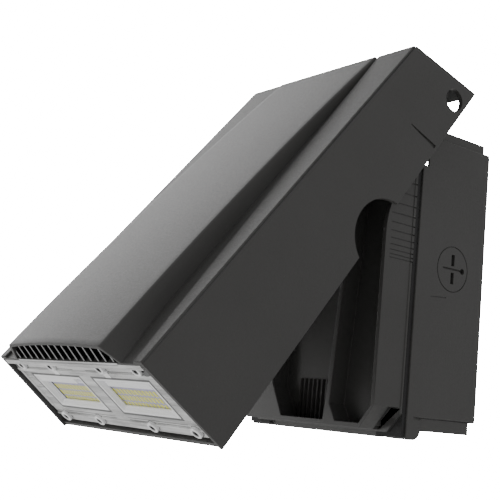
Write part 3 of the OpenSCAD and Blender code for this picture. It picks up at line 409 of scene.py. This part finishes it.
# Hood: a crowned sheet whose crests come together, and sink to the deck, from the open front
# to the rear
HOOD_LEN = 319.5
HOOD_RISE = 13.9
HOOD_TAIL = 2.8
HOOD_WALL = 2.2
CREST_FRONT = 60.3
CREST_REAR = 54.6
FOOT_FRONT = 69.0
FOOT_MID = 61.2
FOOT_LEAST_OUT = HOOD_WALL / 4
FLARE_SHARE = 0.22
SAG_SHARE = 0.4
CROWN = 2.5
CREST_ROUND = 1.3
CREST_ROUND_SHARE = 0.35
CREST_STEPS = 4
HOOD_SECTIONS = 64
CROWN_STEPS = 24
RIM_ROUND = 0.5
RIM_IN_SHARE = 0.4
RIM_AHEAD_SHARE = 0.15
TAIL_IN_SHARE = 0.4


def mix(a, b, share):
    return a + (b - a) * share


def crest_height(s):
    end = DECK_FALL * HOOD_LEN / TOP_LEN - HOOD_TAIL
    return -HOOD_RISE + (end + HOOD_RISE) * s * (SAG_SHARE + (1 - SAG_SHARE) * s)


def crest_half(s):
    return mix(CREST_FRONT, CREST_REAR, s)


def foot_half(s):
    if s < FLARE_SHARE:
        half = FOOT_MID + (FOOT_FRONT - FOOT_MID) * (1 - s / FLARE_SHARE) ** 2
    else:
        half = mix(FOOT_MID, CREST_REAR, (s - FLARE_SHARE) / (1 - FLARE_SHARE))
    return max(crest_half(s) + FOOT_LEAST_OUT, half)


def hood_profile(s, inset, reach):
    """One section of the hood, a share s of its length from the front: from the left foot over
    the crown to the right foot, with rounded crests."""
    top = crest_height(s) + inset
    low = s * HOOD_LEN * DECK_FALL / TOP_LEN
    crest = crest_half(s) - inset
    foot = foot_half(s) - inset
    sag = CROWN * (1 - s)
    bend = min(CREST_ROUND, (low - top) * CREST_ROUND_SHARE)
    u = s * HOOD_LEN + reach
    crown = []
    for i in range(CROWN_STEPS + 1):
        k = 2 * i / CROWN_STEPS - 1
        crown.append((k * (crest - bend), top - sag * (1 - k * k), u))
    lean = (foot - crest) / (low - top)
    right = []
    for i in range(1, CREST_STEPS):
        a = math.radians(90 * i / CREST_STEPS)
        right.append((crest - bend + bend * math.sin(a) + lean * bend * (1 - math.cos(a)),
                      top + bend * (1 - math.cos(a)), u))
    side = crest + lean * bend
    right.append((side, top + bend, u))
    right.append((mix(side, foot, 0.5), mix(top + bend, low, 0.5), u))
    right.append((foot, low, u))
    left = [(-x, v, w) for x, v, w in reversed(right)]
    return left + crown + right


def make_hood():
    """The outer skin from the rear to the front, round the rim, and the inner skin back."""
    stations = [i / HOOD_SECTIONS for i in range(HOOD_SECTIONS + 1)]
    outer = [hood_profile(s, 0, 0) for s in stations]
    outer[0] = hood_profile(0, 0, RIM_ROUND)
    rim = [hood_profile(0, RIM_ROUND * RIM_IN_SHARE, RIM_ROUND * RIM_AHEAD_SHARE),
           hood_profile(0, RIM_ROUND, 0), hood_profile(0, HOOD_WALL - RIM_ROUND, 0)]
    inner = [hood_profile(s, HOOD_WALL, 0) for s in stations[:-1]]
    inner.append(hood_profile(1, HOOD_WALL * TAIL_IN_SHARE, -HOOD_WALL))
    loops = list(reversed(outer)) + rim + inner
    points = [point for loop in loops for point in loop]
    rows, count = len(loops), len(loops[0])
    faces = []
    for j in range(rows - 1):
        for i in range(count - 1):
            a, b = j * count + i, (j + 1) * count + i
            faces.append((a, a + 1, b + 1, b))
    # The rear ends of both skins, each capped on its own, and the feet between the skins
    last = (rows - 1) * count
    faces.append(tuple(range(count)))
    faces.append(tuple(last + i for i in reversed(range(count))))
    for j in range(HOOD_SECTIONS):
        across = rows - 1 - j
        for i in (0, count - 1):
            faces.append((j * count + i, (j + 1) * count + i, (across - 1) * count + i,
                          across * count + i))
    add_piece("hood_shell", points, faces, "powder", ("hood",))


# Clear cover over the light engine, in the head's own measures. A face, a front or a back is a
# place along u, and a top or a low is one along v. SUNK is the place along u that every raised
# form and every line of painted shade reaches inside the plate that carries it.
LENS_FACE = 3.0
LENS_THICK = 2.2
LENS_BACK = LENS_FACE + LENS_THICK
SUNK_IN = 0.5
SUNK = LENS_FACE + SUNK_IN
LENS_TOP = 4.2
LENS_LOW = 67.2
HALF_HEAD = 92.3
PANEL = 3.5
PANEL_LEAN_SHARE = 5.4 / 73.2
LENS_MARGIN = 1.2
# Lip over the deck's front edge, in the pale plate material: painted light where the deck's front
# edge catches light
LIP_TOP = 1.4
LIP_HOOD_TOP = 0.1
LIP_HALF = 64.0
LIP_FRONT = -0.3
LIP_LAP = 1
# Steps above and below the windows
STEP_TOP = 12.6
STEP_LOW = 15.4
STEP_RISE = 0.8
LOW_STEP_TOP = 59.6
LOW_STEP_LOW = 61.2
# Windows, with a line of painted shade round each, its frame, and the walls down to the board
WINDOW_X = (8.0, 75.0)
WINDOW_V = (18.4, 52.4)
WINDOW_SHADE_LINE = 0.9
SHADE_LINE_FACE = 2.95
WINDOW_FRAME = 1.8
WALL_WIDE = 2.4
TRAY_FACE = 6.1
TRAY_BACK = 6.55
PANE_THICK = 0.15
BOARD_X = (11.2, 68.0)
BOARD_V = (29.0, 52.0)
BAR_X = (20.0, 70.5)
BAR_V = (21.6, 26.2)
BAR_FACE = 3.2
# Thin dark lines of painted shade across the plate, tabs, and a raised line along each side
LINE_PLACES = (11.6, 15.9, 56.6, 58.6)
LINE_WIDE = 0.45
TAB_X = 33.0
TAB_HALF = 3.2
TAB_V = (10.5, 16.5)
EDGE_IN = 2.4
EDGE_WIDE = 1.0
EDGE_RISE = 1.0
# Screws in their bosses, each ringed with painted shade, and the recess at each upper corner,
# painted dark as shade
SCREW_PLACES = ((32.0, 8.0), (74.0, 8.0), (33.0, 62.0), (80.0, 62.0))
BOSS_RADIUS = 4.4
BOSS_HOLE = 2.6
BOSS_SHADE_RING = 0.8
BOSS_OUT = 2.2
HEAD_RADIUS = 2.5
HEAD_FACE = 1.0
SOCKET_RADIUS = 1.1
CORNER_AT = (80.0, 7.6)
CORNER_RADIUS = 6.0
CORNER_HOLE_SHARE = 0.35
CORNER_OUT = 0.9
# LED packages
LED_COLUMNS = 13
LED_ROWS = 3
LED_X = 11.5
LED_SPAN = 55.0
LED_V = 31.6
LED_RISE = 18.3
CHIP_WIDE = 2.5
CHIP_TALL = 4.6
CHIP_FACE = 6.5
CHIP_BACK = 6.6
# Roundings of small tubes
CIRCLE_STEPS = 32
TUBE_ROUND = 0.35
SIDES = (-1, 1)


def circle(centre, radius, u):
    """A ring of points round a centre (x, v), at one place along the head."""
    turns = [2 * math.pi * i / CIRCLE_STEPS for i in range(CIRCLE_STEPS)]
    return [(centre[0] + radius * math.cos(a), centre[1] + radius * math.sin(a), u) for a in turns]


def rectangle(xs, vs):
    """The outline between two places across and two heights."""
    (x0, x1), (v0, v1) = xs, vs
    return [(x0, v0), (x1, v0), (x1, v1), (x0, v1)]


def mirrored(side, xs):
    """A span across, on the right side as it is, or mirrored on the left side."""
    return xs if side > 0 else (-xs[1], -xs[0])


def shrunk(span, inset):
    """A span made shorter by an inset at each end."""
    return span[0] + inset, span[1] - inset


def lens_edge(v):
    """Half of the plate's width at a height: the side panels lean outwards."""
    return HALF_HEAD - PANEL + v * PANEL_LEAN_SHARE - LENS_MARGIN


def band(low, high):
    """The plate's full width between two heights."""
    wide, wider = lens_edge(low), lens_edge(high)
    return [(-wide, low), (wide, low), (wider, high), (-wider, high)]


class Solid:
    """Collects simple closed bodies into one mesh."""

    def __init__(self):
        self.points = []
        self.faces = []

    def loops(self, rings):
        """Joins rings of equal count one after another, and the last to the first."""
        start = len(self.points)
        count = len(rings[0])
        for ring in rings:
            self.points.extend(ring)
        for j in range(len(rings)):
            here = start + j * count
            there = start + (j + 1) % len(rings) * count
            for i in range(count):
                n = (i + 1) % count
                self.faces.append((here + i, here + n, there + n, there + i))

    def prism(self, outline, low, high):
        """An outline carried from one place along the head to another."""
        start = len(self.points)
        count = len(outline)
        self.points.extend([(x, v, low) for x, v in outline] + [(x, v, high) for x, v in outline])
        self.faces.append(tuple(start + i for i in range(count)))
        self.faces.append(tuple(start + count + i for i in reversed(range(count))))
        for i in range(count):
            n = (i + 1) % count
            self.faces.append((start + i, start + n, start + count + n, start + count + i))

    def tube(self, centre, inner, outer, low, high):
        """A short tube along the head, with its front outer edge rounded."""
        self.loops([circle(centre, outer, high), circle(centre, outer, low + TUBE_ROUND),
                    circle(centre, outer - TUBE_ROUND, low), circle(centre, inner, low),
                    circle(centre, inner, high)])

    def add(self, name, material, slot="clear_lens", replaced=(), smooth=SMOOTH_ANGLE):
        add_piece(name, self.points, self.faces, material, replaced, smooth)


def make_plate():
    """The plate round the windows, its lip and its steps."""
    plate = Solid()
    window_top, window_low = WINDOW_V
    plate.prism(band(LENS_TOP, window_top), LENS_FACE, LENS_BACK)
    plate.prism(band(window_low, LENS_LOW), LENS_FACE, LENS_BACK)
    plate.prism(rectangle((-WINDOW_X[0], WINDOW_X[0]), WINDOW_V), LENS_FACE, LENS_BACK)
    for side in SIDES:
        inner = side * WINDOW_X[1]
        plate.prism([(inner, window_top), (side * lens_edge(window_top), window_top),
                     (side * lens_edge(window_low), window_low), (inner, window_low)],
                    LENS_FACE, LENS_BACK)
    # painted light: a pale lip over the deck's front edge, which catches light
    plate.prism(band(LIP_TOP, LENS_TOP + LIP_LAP), LIP_FRONT, SUNK)
    plate.prism(rectangle((-LIP_HALF, LIP_HALF), (LIP_HOOD_TOP, LIP_TOP + LIP_LAP)), LIP_FRONT, 0)
    plate.prism(band(STEP_TOP, STEP_LOW), LENS_FACE - STEP_RISE, SUNK)
    plate.prism(band(LOW_STEP_TOP, LOW_STEP_LOW), LENS_FACE - STEP_RISE, SUNK)
    plate.add("lens_plate", "frosted", replaced=("lens_cover",), smooth=LENS_SMOOTH_ANGLE)


def window_ring(side, inset, u):
    """A window's outline, drawn in by an inset, at one place along the head."""
    outline = rectangle(shrunk(mirrored(side, WINDOW_X), inset), shrunk(WINDOW_V, inset))
    return [(x, v, u) for x, v in outline]


def shade_window(shade_lines, side):
    """Painted shade: the dark lines round and beside a window, and round the screw bosses."""
    for v in LINE_PLACES:
        line = rectangle(mirrored(side, WINDOW_X), (v, v + LINE_WIDE))
        shade_lines.prism(line, SHADE_LINE_FACE, SUNK)
    shade_lines.loops([window_ring(side, -WINDOW_SHADE_LINE, LENS_BACK),
                   window_ring(side, -WINDOW_SHADE_LINE, SHADE_LINE_FACE),
                   window_ring(side, WINDOW_SHADE_LINE, SHADE_LINE_FACE),
                   window_ring(side, WINDOW_SHADE_LINE, LENS_BACK)])
    for x, v in SCREW_PLACES:
        shade_lines.tube((side * x, v), BOSS_RADIUS, BOSS_RADIUS + BOSS_SHADE_RING, SHADE_LINE_FACE, SUNK)


def frame_window(bezels, side, inset):
    """A window's frame, sloping walls and bar, and the plate's bosses, tab and raised line, all
    painted near white as painted light.
    """
    bezels.loops([window_ring(side, WINDOW_SHADE_LINE, LENS_BACK),
                  window_ring(side, WINDOW_SHADE_LINE, LENS_FACE),
                  window_ring(side, inset, LENS_FACE),
                  window_ring(side, inset + WALL_WIDE, TRAY_FACE),
                  window_ring(side, inset + WALL_WIDE, LENS_BACK)])
    bezels.prism(rectangle(mirrored(side, BAR_X), BAR_V), BAR_FACE, LENS_BACK)
    for x, v in SCREW_PLACES:
        bezels.tube((side * x, v), BOSS_HOLE, BOSS_RADIUS, LENS_FACE - BOSS_OUT, SUNK)
    tab = (side * TAB_X - TAB_HALF, side * TAB_X + TAB_HALF)
    bezels.prism(rectangle(tab, TAB_V), LENS_FACE - EDGE_RISE, SUNK)
    line = []
    for v in (STEP_LOW, WINDOW_V[1]):
        outer = lens_edge(v) - EDGE_IN
        ends = [(side * (outer - EDGE_WIDE), v), (side * outer, v)]
        line.extend(ends if not line else reversed(ends))
    bezels.prism(line, LENS_FACE - EDGE_RISE, SUNK)


def fill_window(trays, side, inset):
    """The pale floor of a window, round the board."""
    xs = shrunk(mirrored(side, WINDOW_X), inset)
    vs = shrunk(WINDOW_V, inset)
    board = mirrored(side, BOARD_X)
    for outline in (rectangle(xs, (vs[0], BOARD_V[0])), rectangle(xs, (BOARD_V[1], vs[1])),
                    rectangle((xs[0], board[0]), BOARD_V), rectangle((board[1], xs[1]), BOARD_V)):
        trays.prism(outline, TRAY_FACE, TRAY_BACK)


def make_windows():
    inset = WINDOW_SHADE_LINE + WINDOW_FRAME
    bezels, shade_lines, trays, panes = Solid(), Solid(), Solid(), Solid()
    for side in SIDES:
        shade_window(shade_lines, side)
        frame_window(bezels, side, inset)
        fill_window(trays, side, inset)
        pane = rectangle(shrunk(mirrored(side, WINDOW_X), inset), shrunk(WINDOW_V, inset))
        panes.prism(pane, LENS_FACE, LENS_FACE + PANE_THICK)
    bezels.add("lens_bezels", "bezel", smooth=LENS_SMOOTH_ANGLE)
    shade_lines.add("window_painted_shade_lines", "shade", smooth=LENS_SMOOTH_ANGLE)
    trays.add("window_trays", "tray", smooth=LENS_SMOOTH_ANGLE)
    panes.add("lens_panes", "clear")


def make_chips():
    """The LED packages, with the board showing between them."""
    for side, hand in ((1, "right"), (-1, "left")):
        chips = Solid()
        for column in range(LED_COLUMNS):
            x = LED_X + (column + 0.5) * LED_SPAN / LED_COLUMNS
            for row in range(LED_ROWS):
                v = LED_V + (row + 0.5) * LED_RISE / LED_ROWS
                chip = rectangle(mirrored(side, (x - CHIP_WIDE / 2, x + CHIP_WIDE / 2)),
                                 (v - CHIP_TALL / 2, v + CHIP_TALL / 2))
                chips.prism(chip, CHIP_FACE, CHIP_BACK)
        chips.add("chips_" + hand, "phosphor", "led_phosphor", ("led_chips_" + hand,))


def make_lens_screws():
    """The sunk screw heads, and the recess at each upper corner, painted dark as shade."""
    heads, corners = Solid(), Solid()
    for side in SIDES:
        for x, v in SCREW_PLACES:
            heads.tube((side * x, v), SOCKET_RADIUS, HEAD_RADIUS, HEAD_FACE, LENS_BACK)
        x, v = CORNER_AT
        corners.tube((side * x, v), CORNER_RADIUS * CORNER_HOLE_SHARE, CORNER_RADIUS,
                     LENS_FACE - CORNER_OUT, SUNK)
    heads.add("lens_screw_heads", "blackened", "screw_steel", ("lens_screws",))
    # painted shade: the corner recesses wear the dark shade material
    corners.add("lens_corners", "shade")


make_camera()
make_lights()
make_floor()
dress_nodes()
soften("back_box", "wall_unit")
soften("driver_cover", "wall_unit")
soften("head_frame", "head")
make_hood()
make_plate()
make_windows()
make_chips()
make_lens_screws()
